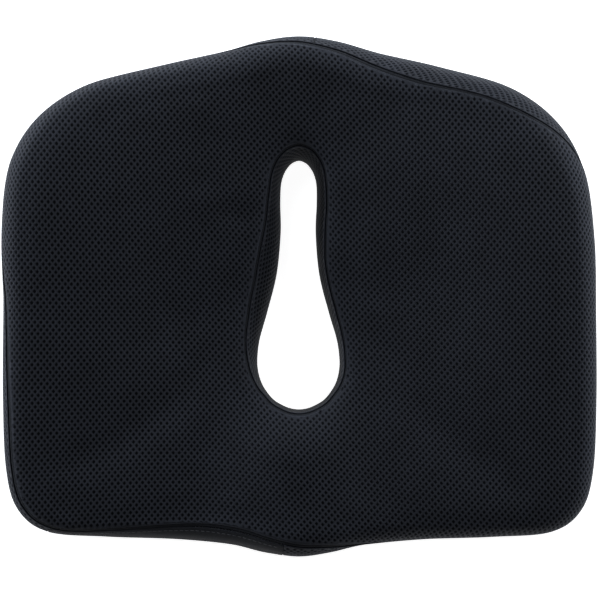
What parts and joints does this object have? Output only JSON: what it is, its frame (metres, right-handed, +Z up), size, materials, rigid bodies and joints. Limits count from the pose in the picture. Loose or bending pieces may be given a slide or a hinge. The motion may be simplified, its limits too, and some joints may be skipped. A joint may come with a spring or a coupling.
{
  "type": "seat cushion",
  "caption": "Contoured foam seat cushion with a keyhole opening through it, in a black spacer-mesh cover that zips off at the front.",
  "frame": {"origin": "centre of the base, at the middle of the width and of the depth", "axes": "+X across the seat, +Y to the rear edge, +Z up"},
  "size_m": [0.46, 0.402, 0.0881],
  "materials": {
    "foam": "matte",
    "liner_knit": "matte",
    "spacer_mesh": "matte",
    "band_weave": "matte",
    "base_fabric": "matte",
    "seam_binding": "matte",
    "zip_tape": "matte",
    "zip_coil": "satin",
    "zip_metal": "satin",
    "pull_metal": "satin",
    "label_cloth": "satin"
  },
  "bodies": {
    "cushion": {"foam_core": "foam", "inner_liner": "liner_knit", "top_panel": "spacer_mesh", "right_gusset": "spacer_mesh", "left_gusset": "spacer_mesh", "zip_band_upper": "band_weave", "zip_band_lower": "band_weave", "hole_wall": "spacer_mesh", "base_panel": "base_fabric", "top_edge_seam": "seam_binding", "hole_rim_seam": "seam_binding", "base_edge_seam": "seam_binding", "hole_base_seam": "seam_binding", "front_join_seam": "seam_binding", "corner_join_seam": "seam_binding", "rear_join_seam": "seam_binding", "zip_tape_upper": "zip_tape", "zip_tape_lower": "zip_tape", "zip_coil_upper": "zip_coil", "zip_coil_lower": "zip_coil", "zip_stop_closed": "zip_metal", "zip_stop_open": "zip_metal", "care_label": "label_cloth"},
    "slider": {"zip_slider": "zip_metal"},
    "pull": {"zip_pull": "pull_metal"}
  },
  "joints": [
    {"name": "zip_slide", "type": "slide", "parent": "cushion", "child": "slider", "axis": [0.9979, -0.0649, 0], "range_m": [-0.1145, 0]},
    {"name": "pull_hinge", "type": "hinge", "parent": "slider", "child": "pull", "pos_m": [-0.04933, -0.1917, 0.015], "axis": [0, 0, 1], "range_deg": [0, 150]}
  ]
}
